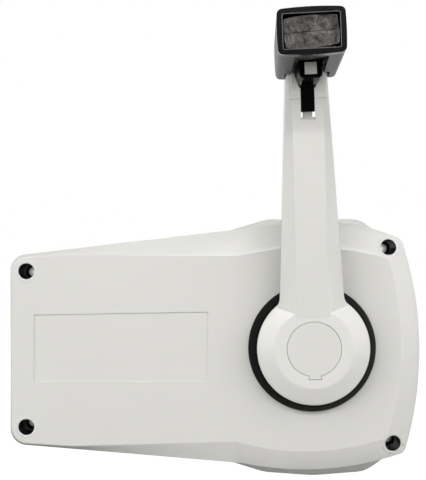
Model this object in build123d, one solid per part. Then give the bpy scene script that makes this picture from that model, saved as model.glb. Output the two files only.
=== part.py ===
from build123d import *
import math
import os

# Side-mount engine control box: one swinging lever works the shift and the throttle cables.
# X runs along the box, with the cables leaving at -X. Z is up. The panel the box bolts to is the
# plane Y = 0, and the lever turns about the Y axis. All sizes are in millimetres.
# "Depth" below means the distance in front of that panel, which is minus Y.

# ---- housing: driving dimensions ----
BOX_LEFT = -200.0            # cable end of the box
FACE = 52.0                  # raised flat face of the cover
BAND_DROP = 5.0
SHOULDER = FACE - BAND_DROP  # where the sloped bands meet the upright skirt
PARTING = 14.0               # where the front cover meets the rear housing
WALL = 3.0
SHELL_GAP = 0.2              # locating lip to skirt
LIP = 1.5
LIP_HEIGHT = 3.0
CORNER_R = 11.0              # the two corners at the cable end
NOSE_R = 6.5                 # the two corners at the lever end
CREASE_R = 1.2

SHOULDER_SHAPE = dict(
    left=BOX_LEFT, top_left=60.6, top_fade=(BOX_LEFT + 35.0, 64.8), top_kink=(-19.7, 81.8),
    top_crown=(4.3, 83.9), top_corner=(60.0, 71.8), side_mid=(72.0, 1.0), bottom_corner=(62.0, -69.9),
    bottom_crown=(1.3, -81.2), bottom_kink=(-45.8, -77.0), bottom_fade=(BOX_LEFT + 42.0, -67.6),
    bottom_left=-64.1)
CREASE_SHAPE = dict(
    left=BOX_LEFT + 1.4, top_left=59.5, top_fade=(BOX_LEFT + 35.0, 61.6), top_kink=(-50.0, 60.4),
    top_crown=(2.0, 66.2), top_corner=(50.5, 58.9), side_mid=(59.2, 0.0), bottom_corner=(50.0, -59.5),
    bottom_crown=(3.0, -68.6), bottom_kink=(-50.0, -62.1), bottom_fade=(BOX_LEFT + 42.0, -65.2),
    bottom_left=-63.0)

# outlines of the two swells behind the cover: x, z and corner radius
BULGE_TOP = [(-62.0, 60.0, 0.0), (-62.0, 76.8, 5.0), (-28.0, 87.0, 25.0), (36.5, 87.2, 18.0),
             (51.0, 76.0, 5.0), (51.0, 60.0, 0.0)]
BULGE_BOTTOM = [(-62.0, -60.0, 0.0), (-62.0, -78.5, 5.0), (-30.0, -88.6, 40.0), (4.0, -91.0, 60.0),
                (40.0, -88.2, 20.0), (53.0, -79.5, 5.0), (53.0, -60.0, 0.0)]
BULGE_ROUND = 3.0

LABEL_LEFT = BOX_LEFT + 16.2     # shallow sunk panel on the face, left bare
LABEL_RIGHT = -68.7
LABEL_TOP_LEFT = 21.7
LABEL_TOP_RIGHT = 23.7
LABEL_BOTTOM = -22.4
LABEL_SINK = 0.8

# ---- panel bolts ----
LEFT_BOLTS = [(BOX_LEFT + 11.3, 50.5), (BOX_LEFT + 11.3, -52.5)]
RIGHT_BOLTS = [(51.0, 66.5), (54.0, -63.5)]
BOLT_HOLE_R = 3.3            # M6 clearance
SLEEVE_BORE_R = 5.3
SLEEVE_WALL = 1.3
SLEEVE_SEAT = 20.0           # where the bolt head sits
SLEEVE_BASE = 16.0
SLEEVE_SINK = 4.0            # sleeve's mouth below the face
SLEEVE_FIT = 0.05

# ---- shell screws, driven from the back ----
SHELL_SCREWS = [(BOX_LEFT + 14.0, 0.0), (-115.0, 59.5), (-115.0, -61.5), (5.0, 75.0), (5.0, -72.5),
                (63.0, 0.0)]
SCREW_R = 1.75
SCREW_HEAD_R = 3.4
SCREW_HEAD = 2.4
SCREW_LENGTH = 22.0
SCREW_RECESS = 4.0
SCREW_BOSS_R = 4.6
RIB_X = [BOX_LEFT + 60.0, -95.0]
RIB_FRONT = 9.0

# ---- main shaft stack, by depth ----
SHAFT_R = 8.0
SHAFT_TAIL_R = SHAFT_R - 2.0
SHAFT_FLAT_R = SHAFT_R - 1.0
SHAFT_FLATS = SHAFT_R + 3.0      # across the two flats that drive the lever
SHAFT_BORE_R = 3.0
THREAD_R = 5.4
RUN_FIT = 0.05               # running fit, radial
SEAT_FIT = 0.03              # fixed fit, radial
PIN_FIT = 0.02
CLEAR = 0.3                  # between pieces that move past each other
REAR_BUSH = (4.0, 12.0)
FRONT_BUSH = (FACE - 8.5, FACE)
BUSH_WALL = 3.0
BUSH_FLANGE = 1.2
CLIP = (12.6, 13.6)
DRUM = (14.6, 20.0)
DETENT = (20.0, 25.0)
GEAR = (27.0, 34.0)
CRANK = (35.0, 38.0)
SWIVEL = (38.4, 47.4)
KEY_HALF = 2.0
KEY_FLOOR = SHAFT_R - 1.8
KEY_TOP = SHAFT_R + 2.0
CLUTCH_PIN_R = 1.4
CLUTCH_HALF = SHAFT_R + 2.0      # half the length of the button rod's cross pin
CLUTCH_DEPTH = GEAR[0] + 5.0

# ---- gear pair ----
MODULE = 2.5
DRIVE_TEETH = 12
SHIFT_TEETH = 30
SHIFT_TEETH_CUT = 10         # the shift gear is a sector
PRESSURE_ANGLE = 25.0
BACKLASH = 0.25
GEAR_SPACING = MODULE * (DRIVE_TEETH + SHIFT_TEETH) / 2
SHIFT_ARM = 45.0
SHIFT_HUB_R = 12.0
STUB_R = 5.0
STUB_ROOT = 5.2
STUB_GROOVE = 0.9
STUB_CLIP = (GEAR[1] + 1.3, GEAR[1] + 2.3)
CABLE_PIN_R = 3.0
PIN_HEAD = 1.6
CRANK_RADIUS = 32.0
CRANK_HUB_R = 14.0
EYE_R = 6.5
CABLE_THREAD_R = 2.4         # 10-32 cable rod
SWIVEL_REACH = 20.0
SWIVEL_HALF = 5.0

# ---- detent, friction and neutral switch ----
DETENT_R = 20.0
ROLLER_R = 4.0
ROLLER_BORE_R = 1.5
DETENT_PIVOT = (39.0, -26.0)
DETENT_PIN_R = 3.0
DETENT_ROOT = 6.2
DETENT_ARM_HALF = 3.4
DETENT_HUB_R = 6.0
DETENT_ANGLES = [0.0, 35.0, -35.0]
DRUM_R = 14.0
LOBE_TOP = DRUM_R + 1.8
FRICTION_R = 3.0
FRICTION_DEPTH = (DRUM[0] + DRUM[1]) / 2
FRICTION_NUT = (-44.0, -28.0)
SWITCH_X = (-11.0, 11.0)
SWITCH_Z = (24.0, 40.0)
SWITCH_SEAT = 13.0
SWITCH_TOP = SWITCH_SEAT + 8.0
SWITCH_SCREW_X = [-7.5, 7.5]
SWITCH_SCREW_R = 1.15
SWITCH_SCREW_END = 7.0
PLUNGER_R = 1.6
SPRING_POST_X = (52.0, 58.0)
SPRING_POST_Z = (-34.0, -26.0)
LEAF_THICK = 0.8

# ---- cable anchors ----
CABLE_Z = [24.0, -24.0]
CABLE_DEPTH = 28.0
ANCHOR = (BOX_LEFT + 32.0, BOX_LEFT + 46.0)
ANCHOR_R = 5.5
ANCHOR_HALF = 36.0
CLAMP_TOP = 36.0
CLAMP_SCREW_Z = [10.0, -10.0]
CLAMP_SCREW_R = 1.65
CLAMP_SCREW_END = 11.0
OUTLET_R = 8.0
GROMMET_BORE_R = ANCHOR_R + 0.4

# ---- lever ----
LEAN = 2.3                   # resting play, towards the cables
HUB_R = 36.8
HUB_BACK = FACE + 12.0
HUB_RIM = FACE + 14.0
HUB_FRONT = FACE + 18.5
HUB_FACE_R = HUB_R - 11.0
HUB_EDGE_R = 1.2
HUB_FACE_ROUND = 6.0
BOSS_R = 21.0
BOSS_BACK = FACE + 1.6
POCKET_FLOOR = FACE + 6.0
GRIP_CENTRE = 186.2          # lever length, axis to middle of the grip
ARM_FLAT = 10.0              # half-width of the flat facet
ARM_FOOT = 20.0              # height where the arm's slope starts
ARM_NECK = 50.0              # height where the neck ends
ARM_TOP = GRIP_CENTRE - 12.2
ARM_HALF_FOOT = 21.5
ARM_HALF_TOP = 12.8
ARM_BEVEL = 4.5
ARM_FRONT_TOP = HUB_FRONT + 27.5
ARM_BACK_TOP = HUB_BACK + 12.0
ARM_SKIN = 3.0
NECK_R = 9.0
HEAD_HALF = 11.5
SLOT_HALF = 4.6
SLOT_BOTTOM = GRIP_CENTRE - 39.3
SLOT_LEDGE = 3.1
FUNNEL_HALF = 8.4
FUNNEL_FOOT = GRIP_CENTRE - 22.8
FUNNEL_TOP = GRIP_CENTRE - 12.8

# ---- grip ----
GRIP_WIDTH = 39.3
GRIP_HEIGHT = 27.0
GRIP_LENGTH = 95.0
GRIP_BACK = ARM_BACK_TOP - 2.0
GRIP_FRONT = GRIP_BACK + GRIP_LENGTH
GRIP_WALL = 3.1
GRIP_CORNER = 3.2
GRIP_END_R = 2.5
GRIP_CROWN = 0.9
GRIP_YAW = 2.4
GRIP_DROOP = 1.2
GRIP_TURN_DEPTH = ARM_FRONT_TOP + 3.5
CORE_WIDTH = GRIP_WIDTH - 9.1
CORE_HEIGHT = GRIP_HEIGHT - 10.6
CORE_CROWN = 1.1
CORE_TWIST = 3.0
CORE_SINK = 2.6
CORE_BACK = ARM_FRONT_TOP + 4.0
CORE_PARTING = 0.15
HORN_HALF = 6.0
HORN_HEIGHT = 6.0
HORN_FRONT = GRIP_FRONT - 19.0
TRIGGER_WINDOW_HALF = 10.0
TRIGGER_WINDOW_FRONT = GRIP_FRONT - 9.0
GRIP_SCREW_DEPTH = ARM_FRONT_TOP + 43.0
GRIP_SCREW_R = 2.0
GRIP_HEAD_R = 3.5

# ---- trigger ----
TRIGGER_HALF = 7.1
TRIGGER_BOTTOM = GRIP_CENTRE - 20.2
TRIGGER_TOP = GRIP_CENTRE - 9.0
TRIGGER_BACK = ARM_FRONT_TOP + 1.6
TRIGGER_FRONT = ARM_FRONT_TOP + 25.0
TRIGGER_TRAVEL = 3.0
TRIGGER_ROUND = 3.0
STRAP_HALF = 4.3
STRAP_NECK = 3.1
STRAP_END = GRIP_CENTRE - 36.0
STRAP_SINK = 0.5
STRAP_THICK = 2.6
INSERT_HALF = 3.7
INSERT_Z = GRIP_CENTRE - 14.3
INSERT_SINK = 0.6
SPRING_DEPTH = ARM_FRONT_TOP + 14.0
SPRING_FOOT = TRIGGER_BOTTOM + 4.6
TRIGGER_COIL_R = 2.7
LOCK_BAR_OFFSET = 4.5        # behind the arm's front face
LOCK_BAR_THICK = 2.2
LOCK_BAR_HALF = 3.0

# ---- bezel, lock ring and button ----
BEZEL_TOP_R = HUB_R + 0.5
BEZEL_R = BEZEL_TOP_R + 4.8
BEZEL_TOP = HUB_BACK - 1.0
BEZEL_FLANGE = 1.5
LOCK_RING_R = 30.0
LOCK_RING_IN = BOSS_R + 1.2
LOCK_RING_TOP = FACE + 5.0
LOCK_TIP = LOCK_RING_R + CLEAR
RING_SCREW_R = 1.5
BUTTON_R = 17.5
BUTTON_TAB_HALF = 3.8
BUTTON_TAB = 2.0
BUTTON_FRONT = HUB_FRONT - 0.2
BUTTON_SKIN = 2.5
BUTTON_ROD_R = 2.4
NUT_R = 9.2
WASHER = 1.0


# ---- shared shapes ----
def slab(sketch, back, front):
    """Extrude an XZ sketch between two depths."""
    return extrude(Plane.XZ.offset(back) * sketch, front - back, dir=(0, -1, 0))


def bar(radius, back, front, x=0.0, z=0.0):
    """Round bar along the depth direction."""
    return slab(Pos(x, z) * Circle(radius), back, front)


def tube(outer, inner, back, front, x=0.0, z=0.0):
    return bar(outer, back, front, x, z) - bar(inner, back - 1, front + 1, x, z)


def block(x_low, x_high, back, front, z_low, z_high):
    size = (x_high - x_low, front - back, z_high - z_low)
    centre = ((x_low + x_high) / 2, -(back + front) / 2, (z_low + z_high) / 2)
    return Pos(*centre) * Box(*size)


def rod_x(radius, x_low, x_high, depth, z):
    return Pos((x_low + x_high) / 2, -depth, z) * Rot(0, 90, 0) * Cylinder(radius, x_high - x_low)


def rod_z(radius, z_low, z_high, x, depth):
    return Pos(x, -depth, (z_low + z_high) / 2) * Cylinder(radius, z_high - z_low)


def side_profile(points, half_width):
    """Extrude a (depth, z) outline both ways along X."""
    outline = [(-depth, z) for depth, z in points]
    return extrude(Plane.YZ * Polygon(*outline, align=None), half_width, both=True)


def turned(profile):
    """Revolve a (radius, depth) outline about the lever axis."""
    outline = [(radius, -depth) for radius, depth in profile]
    return revolve(Polygon(*outline, align=None), Axis.Y)


def leaned(shape):
    """Turn a piece of the lever to its resting lean."""
    return Rot(0, -LEAN, 0) * shape


def save(name, shape):
    export_step(shape, f"parts/{name}.step")


# ---- housing outlines ----
def moved_in(point, inset):
    """Move an outline point towards the middle of the box."""
    x, z = point
    side = inset if abs(z) < 10 or x > 45 else 0.0
    rise = 0.0 if abs(z) < 10 else math.copysign(inset, z)
    return (x - side, z - rise)


def box_outline(shape, inset=0.0):
    """Closed outline: straight cable end, bowed top, nose and bottom round the lever."""
    left = shape["left"] + inset
    start = (left, shape["bottom_left"] + inset)
    corner = (left, shape["top_left"] - inset)
    at = {name: moved_in(point, inset) for name, point in shape.items() if isinstance(point, tuple)}
    edges = [
        Line(start, at["bottom_fade"]),
        Line(at["bottom_fade"], at["bottom_kink"]),
        ThreePointArc(at["bottom_kink"], at["bottom_crown"], at["bottom_corner"]),
        ThreePointArc(at["bottom_corner"], at["side_mid"], at["top_corner"]),
        ThreePointArc(at["top_corner"], at["top_crown"], at["top_kink"]),
        Line(at["top_kink"], at["top_fade"]),
        Line(at["top_fade"], corner),
        Line(corner, start)]
    sketch = make_face(edges)
    at_left = sketch.vertices().sort_by(Axis.X)[0:2]
    sketch = fillet(at_left, CORNER_R - inset)
    at_nose = sketch.vertices().sort_by(Axis.X)[-2:]
    return fillet(at_nose, NOSE_R - inset)


def stepped_block(low_sketch, low_depth, high_sketch, high_depth):
    """Ruled loft between two outlines at two depths."""
    sections = [Plane.XZ.offset(low_depth) * low_sketch, Plane.XZ.offset(high_depth) * high_sketch]
    return loft(sections, ruled=True)


def all_bolts():
    return LEFT_BOLTS + RIGHT_BOLTS


def front_cover():
    shoulder = box_outline(SHOULDER_SHAPE)
    crease = box_outline(CREASE_SHAPE)
    band = stepped_block(shoulder, SHOULDER, crease, FACE)
    band = fillet(band.edges().filter_by_position(Axis.Y, -FACE - 0.01, -FACE + 0.01), CREASE_R)
    outer = slab(shoulder, PARTING, SHOULDER) + band
    inner_low = box_outline(SHOULDER_SHAPE, WALL)
    inner_high = box_outline(CREASE_SHAPE, WALL)
    cavity = slab(inner_low, PARTING, SHOULDER - WALL)
    cavity += stepped_block(inner_low, SHOULDER - WALL, inner_high, FACE - WALL)
    cover = outer - cavity

    sleeve_r = SLEEVE_BORE_R + SLEEVE_WALL
    bush_r = SHAFT_R + BUSH_WALL
    for x, z in all_bolts():
        cover += bar(sleeve_r + 2.6, SLEEVE_BASE, FACE - WALL + 1, x, z) & outer
    for x, z in SHELL_SCREWS:
        cover += bar(SCREW_BOSS_R, PARTING, FACE - WALL + 1, x, z) & outer
    cover += bar(bush_r + 4.0, FRONT_BUSH[0], FACE - 1)

    for x, z in all_bolts():
        cover -= bar(SLEEVE_BORE_R, PARTING - 1, FACE + 1, x, z)
        cover -= bar(sleeve_r + SLEEVE_FIT, PARTING - 1, FACE - SLEEVE_SINK, x, z)
    for x, z in SHELL_SCREWS:
        cover -= bar(SCREW_R, PARTING - 1, SCREW_RECESS + SCREW_LENGTH + 1, x, z)
    cover -= bar(bush_r + RUN_FIT, FRONT_BUSH[0] - 1, FACE + 1)

    label = Polygon((LABEL_LEFT, LABEL_BOTTOM), (LABEL_RIGHT, LABEL_BOTTOM),
                    (LABEL_RIGHT, LABEL_TOP_RIGHT), (LABEL_LEFT, LABEL_TOP_LEFT), align=None)
    cover -= slab(label, FACE - LABEL_SINK, FACE + 1)
    outlet = (BOX_LEFT - 1, BOX_LEFT + WALL + 3)
    for z in CABLE_Z:
        cover -= rod_x(OUTLET_R, *outlet, CABLE_DEPTH, z)
        cover -= block(*outlet, PARTING - 1, CABLE_DEPTH, z - OUTLET_R, z + OUTLET_R)
    return cover


def bulge_sketch(points):
    """Swell outline with each corner rounded by its own radius."""
    sketch = Polygon(*[(x, z) for x, z, radius in points], align=None)
    for x, z, radius in points:
        if radius:
            corner = sketch.vertices().sort_by_distance((x, z, 0))[0]
            sketch = fillet(corner, radius)
    return sketch


def bulge_pocket(points):
    middle = sum(x for x, z, radius in points) / len(points)
    inset = [(x - math.copysign(WALL, x - middle), z - math.copysign(WALL, z)) for x, z, radius in points]
    return Polygon(*inset, align=None)


def locating_lip():
    """Rim that stands inside the cover's skirt, broken at the bosses and the cable outlets."""
    inset = WALL + SHELL_GAP
    inner = box_outline(SHOULDER_SHAPE, inset + LIP)
    root = PARTING - LIP_HEIGHT
    tip = PARTING + LIP_HEIGHT
    lip = slab(box_outline(SHOULDER_SHAPE, inset) - inner, root, tip)
    lip += slab(box_outline(SHOULDER_SHAPE, WALL - 0.5) - inner, root, PARTING)
    for x, z in all_bolts():
        lip -= bar(SLEEVE_BORE_R + SLEEVE_WALL + 3.2, root, tip + 1, x, z)
    for x, z in SHELL_SCREWS:
        lip -= bar(SCREW_BOSS_R + 0.5, root, tip + 1, x, z)
    for z in CABLE_Z:
        lip -= block(BOX_LEFT, BOX_LEFT + 12, root, tip + 1, z - OUTLET_R - 3, z + OUTLET_R + 3)
    return lip


def rear_housing():
    bulges = bulge_sketch(BULGE_TOP) + bulge_sketch(BULGE_BOTTOM)
    ledge = slab(bulges, 0, PARTING)
    rim = ledge.edges().filter_by_position(Axis.Y, -PARTING - 0.1, -PARTING + 0.1)
    ledge = fillet(rim, BULGE_ROUND)
    housing = slab(box_outline(SHOULDER_SHAPE), 0, PARTING) + ledge
    housing -= slab(box_outline(SHOULDER_SHAPE, WALL), WALL, PARTING + 1)
    for points in (BULGE_TOP, BULGE_BOTTOM):
        housing -= slab(bulge_pocket(points), WALL, PARTING - WALL)
    housing += locating_lip()

    floor = WALL - 1
    for x, z in all_bolts():
        housing += bar(SLEEVE_BORE_R + SLEEVE_WALL, floor, SLEEVE_BASE, x, z)
    for x, z in SHELL_SCREWS:
        housing += bar(SCREW_BOSS_R + 1.5, floor, PARTING, x, z)
    housing += bar(SHAFT_TAIL_R + BUSH_WALL + 4.0, floor, REAR_BUSH[1])
    housing += bar(STUB_R + 4.5, floor, GEAR[0] - 4.0, -GEAR_SPACING, 0)
    housing += block(*ANCHOR, floor, CABLE_DEPTH, -ANCHOR_HALF, ANCHOR_HALF)
    housing += bar(DETENT_HUB_R + 1, floor, DETENT[0] - 0.5, *DETENT_PIVOT)
    housing += block(-9, 9, floor, FRICTION_DEPTH + FRICTION_R + 1.7, *FRICTION_NUT)
    housing += block(*SWITCH_X, floor, SWITCH_SEAT, *SWITCH_Z)
    housing += block(*SPRING_POST_X, floor, DETENT[1] - 0.5, *SPRING_POST_Z)
    for x in RIB_X:
        housing += block(x - 1, x + 1, floor, RIB_FRONT, -60, 60)

    for x, z in all_bolts():
        housing -= bar(BOLT_HOLE_R, -1, SLEEVE_BASE + 1, x, z)
    for x, z in SHELL_SCREWS:
        housing -= bar(SCREW_R + CLEAR, -1, PARTING + 1, x, z)
        housing -= bar(SCREW_HEAD_R + 2 * CLEAR, -1, SCREW_RECESS, x, z)
    housing -= bar(SHAFT_TAIL_R + BUSH_WALL + RUN_FIT, REAR_BUSH[0], REAR_BUSH[1] + 1)
    housing -= bar(STUB_R + PIN_FIT, STUB_ROOT - 0.2, GEAR[0], -GEAR_SPACING, 0)
    housing -= bar(DETENT_PIN_R + PIN_FIT, DETENT_ROOT - 0.2, DETENT[0] + 1, *DETENT_PIVOT)
    for z in CABLE_Z:
        housing -= rod_x(ANCHOR_R, ANCHOR[0] - 1, ANCHOR[1] + 1, CABLE_DEPTH, z)
    for z in CLAMP_SCREW_Z:
        housing -= bar(CLAMP_SCREW_R, CLAMP_SCREW_END - 1, CABLE_DEPTH + 1, sum(ANCHOR) / 2, z)
    housing -= rod_z(FRICTION_R + RUN_FIT, FRICTION_NUT[0] - 1, FRICTION_NUT[1] + 1, 0, FRICTION_DEPTH)
    for x in SWITCH_SCREW_X:
        housing -= bar(SWITCH_SCREW_R + RUN_FIT, SWITCH_SCREW_END - 1, SWITCH_SEAT + 1, x, sum(SWITCH_Z) / 2)
    return housing


def mounting_sleeves():
    """Four dark cups that take the panel bolts and stop the cover being crushed."""
    sleeves = []
    for x, z in all_bolts():
        cup = bar(SLEEVE_BORE_R + SLEEVE_WALL, SLEEVE_BASE, FACE - SLEEVE_SINK, x, z)
        cup -= bar(SLEEVE_BORE_R, SLEEVE_SEAT, FACE, x, z)
        cup -= bar(BOLT_HOLE_R, SLEEVE_BASE - 1, SLEEVE_SEAT + 1, x, z)
        sleeves.append(cup)
    return Compound(children=sleeves)


def shell_screws():
    screws = []
    for x, z in SHELL_SCREWS:
        screw = bar(SCREW_HEAD_R, SCREW_RECESS - SCREW_HEAD, SCREW_RECESS, x, z)
        screw += bar(SCREW_R - 0.05, SCREW_RECESS, SCREW_RECESS + SCREW_LENGTH, x, z)
        screws.append(screw)
    return Compound(children=screws)


# ---- shaft group ----
def bush(shaft_r, back, front, flanged):
    """Nylon bush; the front one has a flange that carries the lever boss."""
    body = tube(shaft_r + BUSH_WALL, shaft_r + RUN_FIT, back, front)
    if flanged:
        body += tube(shaft_r + 2 * BUSH_WALL, shaft_r + RUN_FIT, front, front + BUSH_FLANGE)
    return body


def key_seats():
    """The two stretches of shaft that drive a keyed piece."""
    return [(DRUM[0], DETENT[1]), CRANK]


def lever_flats(fit):
    """Double-flatted shape where the shaft drives the lever."""
    return Circle(SHAFT_FLAT_R + fit) & Rectangle(3 * SHAFT_R, SHAFT_FLATS + 2 * fit)


def main_shaft():
    shaft = bar(SHAFT_TAIL_R, REAR_BUSH[0] + CLEAR, CLIP[0])
    shaft += bar(SHAFT_R, CLIP[0], BOSS_BACK)
    shaft -= tube(SHAFT_R + 1, SHAFT_R - 1, *CLIP)
    shaft += leaned(slab(lever_flats(0), BOSS_BACK, POCKET_FLOOR))
    shaft += bar(THREAD_R, POCKET_FLOOR, POCKET_FLOOR + 5.2)
    shaft -= bar(SHAFT_BORE_R, GEAR[0], POCKET_FLOOR + 6)
    pin_slot = CLUTCH_PIN_R + 0.2
    shaft -= block(-SHAFT_R - 1, SHAFT_R + 1, GEAR[0] + 0.2, GEAR[1] - 0.4, -pin_slot, pin_slot)
    for low, high in key_seats():
        shaft -= block(-KEY_HALF, KEY_HALF, low, high, -SHAFT_R - 1, -KEY_FLOOR)
    return shaft


def key_slot(low, high):
    half = KEY_HALF + SEAT_FIT
    return block(-half, half, low - 1, high + 1, -KEY_TOP - 0.1, 0)


def shaft_keys():
    keys = [block(-KEY_HALF, KEY_HALF, low, high, -KEY_TOP, -KEY_FLOOR) for low, high in key_seats()]
    return Compound(children=keys)


def retaining_clip(groove_r, outer_r, back, front, x=0.0, z=0.0):
    """Spring-steel clip with an open mouth."""
    ring = tube(outer_r, groove_r + PIN_FIT, back, front, x, z)
    mouth = groove_r * 0.8
    return ring - block(x - mouth, x + mouth, back - 1, front + 1, z, z + outer_r + 1)


def involute(angle):
    return math.tan(angle) - angle


def gear_radii(teeth):
    pitch = MODULE * teeth / 2
    return pitch, pitch + 0.9 * MODULE, pitch - 1.15 * MODULE


def tooth(teeth, centre_angle):
    """One involute tooth as a sketch, pointing at centre_angle degrees."""
    pitch, tip, root = gear_radii(teeth)
    pressure = math.radians(PRESSURE_ANGLE)
    base = pitch * math.cos(pressure)
    thickness = math.pi * MODULE / 2 - BACKLASH / 2
    flank = []
    for radius in (root - 0.6, max(root, base), pitch, (pitch + tip) / 2, tip):
        local = math.acos(min(1.0, base / radius))
        half_angle = thickness / (2 * pitch) + involute(pressure) - involute(local)
        flank.append((radius, half_angle))
    centre = math.radians(centre_angle)
    right = [(r * math.cos(centre - a), r * math.sin(centre - a)) for r, a in flank]
    left = [(r * math.cos(centre + a), r * math.sin(centre + a)) for r, a in reversed(flank)]
    return Polygon(*right, *left, align=None)


def drive_gear():
    sketch = Circle(gear_radii(DRIVE_TEETH)[2])
    for index in range(DRIVE_TEETH):
        sketch += tooth(DRIVE_TEETH, 180 + index * 360 / DRIVE_TEETH)
    gear = slab(sketch, *GEAR) - bar(SHAFT_R + RUN_FIT, GEAR[0] - 1, GEAR[1] + 1)
    dog_back = CLUTCH_DEPTH - CLUTCH_PIN_R
    gear -= bar(CLUTCH_HALF + 0.4, GEAR[0] - 1, dog_back)
    half = CLUTCH_HALF + CLEAR
    gear -= block(-half, half, dog_back - 0.6, GEAR[1] - CLEAR, -CLUTCH_PIN_R - 0.2, CLUTCH_PIN_R + 0.2)
    return gear


def shift_gear():
    root = gear_radii(SHIFT_TEETH)[2]
    step = 360 / SHIFT_TEETH
    reach = SHIFT_TEETH_CUT / 2 * step
    fan = [(0, 0)]
    for index in range(13):
        angle = math.radians(-reach + index * reach / 6)
        fan.append((root * math.cos(angle), root * math.sin(angle)))
    sketch = Polygon(*fan, align=None)
    for index in range(SHIFT_TEETH_CUT):
        sketch += tooth(SHIFT_TEETH, -reach + (index + 0.5) * step)
    sketch += Circle(SHIFT_HUB_R)
    for angle in (-reach / 2, reach / 2):
        window = Pos((SHIFT_HUB_R + root) / 2, 0) * SlotOverall(14, 8, rotation=90)
        sketch -= Rot(0, 0, angle) * window
    body = slab(sketch, *GEAR)
    arm = Polygon((-8, 0), (8, 0), (EYE_R - 1, SHIFT_ARM), (1 - EYE_R, SHIFT_ARM), align=None)
    arm += Pos(0, SHIFT_ARM) * Circle(EYE_R)
    body += slab(arm, GEAR[0], GEAR[0] + 5)
    body += bar(STUB_R + 4, GEAR[0] - 3, GEAR[1] + 1)
    body -= bar(STUB_R + RUN_FIT, GEAR[0] - 4, GEAR[1] + 2)
    body -= bar(CABLE_PIN_R + PIN_FIT, GEAR[0] - 1, GEAR[1], 0, SHIFT_ARM)
    return Pos(-GEAR_SPACING, 0, 0) * body


def shift_stub():
    stub = bar(STUB_R, STUB_ROOT, GEAR[1] + 3.4, -GEAR_SPACING, 0)
    return stub - tube(STUB_R + 1, STUB_R - STUB_GROOVE, *STUB_CLIP, -GEAR_SPACING, 0)


def headed_pin(radius, back, front, x, z, head_back):
    """Plain pin with a thin head at its back or its front end."""
    pin = bar(radius, back, front, x, z)
    if head_back:
        return pin + bar(radius + PIN_HEAD, back - 1.0, back, x, z)
    return pin + bar(radius + PIN_HEAD, front, front + 1.0, x, z)


def throttle_crank():
    plate = Circle(CRANK_HUB_R) + Pos(-CRANK_RADIUS, 0) * Circle(EYE_R)
    eye = EYE_R - 0.3
    plate += Polygon((0, 11), (-CRANK_RADIUS, eye), (-CRANK_RADIUS, -eye), (0, -11), align=None)
    crank = slab(plate, *CRANK) - bar(SHAFT_R + RUN_FIT, CRANK[0] - 1, CRANK[1] + 1)
    crank -= key_slot(*CRANK)
    return crank - bar(CABLE_PIN_R + PIN_FIT, CRANK[0] - 1, CRANK[1] + 1, -CRANK_RADIUS, 0)


def cable_swivel(back, front, x, z):
    """Block that turns on a cable pin and takes the threaded end of the cable rod."""
    middle = (back + front) / 2
    body = slab(Pos(x, z) * Circle(SWIVEL_HALF + 1), back, front)
    body += rod_x(4.4, x - SWIVEL_REACH, x, middle, z)
    body -= bar(CABLE_PIN_R + RUN_FIT, back - 1, front + 1, x, z)
    return body - rod_x(CABLE_THREAD_R, x - SWIVEL_REACH - 1, x - SWIVEL_HALF - 1.5, middle, z)


# ---- detent, friction and neutral switch ----
def roller_seat():
    """Centre distance of the detent roller from the lever axis."""
    return DETENT_R + CLEAR + ROLLER_R


def detent_disc():
    disc = Circle(DETENT_R)
    for angle in DETENT_ANGLES:
        disc -= Rot(0, 0, angle) * Pos(roller_seat() - 0.4, 0) * Circle(ROLLER_R + 0.5)
    body = slab(disc, *DETENT)
    lobe = Rot(0, 0, 90) * Pos(LOBE_TOP - 4.8, 0) * SlotOverall(12, 9.6, rotation=90)
    body += slab(Circle(DRUM_R) + lobe, *DRUM)
    body -= bar(SHAFT_R + RUN_FIT, DRUM[0] - 1, DETENT[1] + 1)
    return body - key_slot(DRUM[0], DETENT[1])


def detent_arm():
    pivot_x, pivot_z = DETENT_PIVOT
    run = Vector(roller_seat() - pivot_x, -pivot_z)
    side = Vector(run.Y, -run.X).normalized() * DETENT_ARM_HALF
    outline = [(pivot_x + side.X, pivot_z + side.Y), (roller_seat() + side.X, side.Y),
               (roller_seat() - side.X, -side.Y), (pivot_x - side.X, pivot_z - side.Y)]
    cheek = Polygon(*outline, align=None) + Pos(roller_seat(), 0) * Circle(DETENT_ARM_HALF)
    cheek += Pos(pivot_x, pivot_z) * Circle(DETENT_HUB_R)
    front = DETENT[1] + 1.6
    arm = slab(cheek, DETENT[1] + 0.4, front)
    arm += bar(DETENT_HUB_R, DETENT[0], front, pivot_x, pivot_z)
    arm += bar(ROLLER_BORE_R, DETENT[0], front, roller_seat(), 0)
    return arm - bar(DETENT_PIN_R + RUN_FIT, DETENT[0] - 1, front + 1, pivot_x, pivot_z)


def detent_roller():
    return tube(ROLLER_R, ROLLER_BORE_R + RUN_FIT, DETENT[0] + 0.2, DETENT[1] + 0.1, roller_seat(), 0)


def detent_spring():
    """Leaf of spring steel from its post to the back of the detent arm."""
    outer = SPRING_POST_X[0] - 0.05
    inner = outer - LEAF_THICK
    foot = SPRING_POST_Z[0]
    bend = SPRING_POST_Z[1]
    path = [(outer, foot), (outer, bend + 0.4), (38.1, 1.6), (37.3, 1.2), (inner, bend), (inner, foot)]
    return slab(Polygon(*path, align=None), DETENT[0] + 0.5, DETENT[1] - 0.5)


def friction_pad():
    pad = block(-6, 6, DRUM[0] + 0.2, DRUM[1] - 0.2, -DRUM_R - 6, -6)
    return pad - bar(DRUM_R + 0.15, DRUM[0] - 1, DRUM[1] + 1)


def friction_screw():
    screw = rod_z(FRICTION_R, FRICTION_NUT[0] - 8, -DRUM_R - 6.1, 0, FRICTION_DEPTH)
    head = Pos(0, -FRICTION_DEPTH, FRICTION_NUT[0] - 12) * RegularPolygon(5.2, 6)
    return screw + extrude(head, 4)


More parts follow.
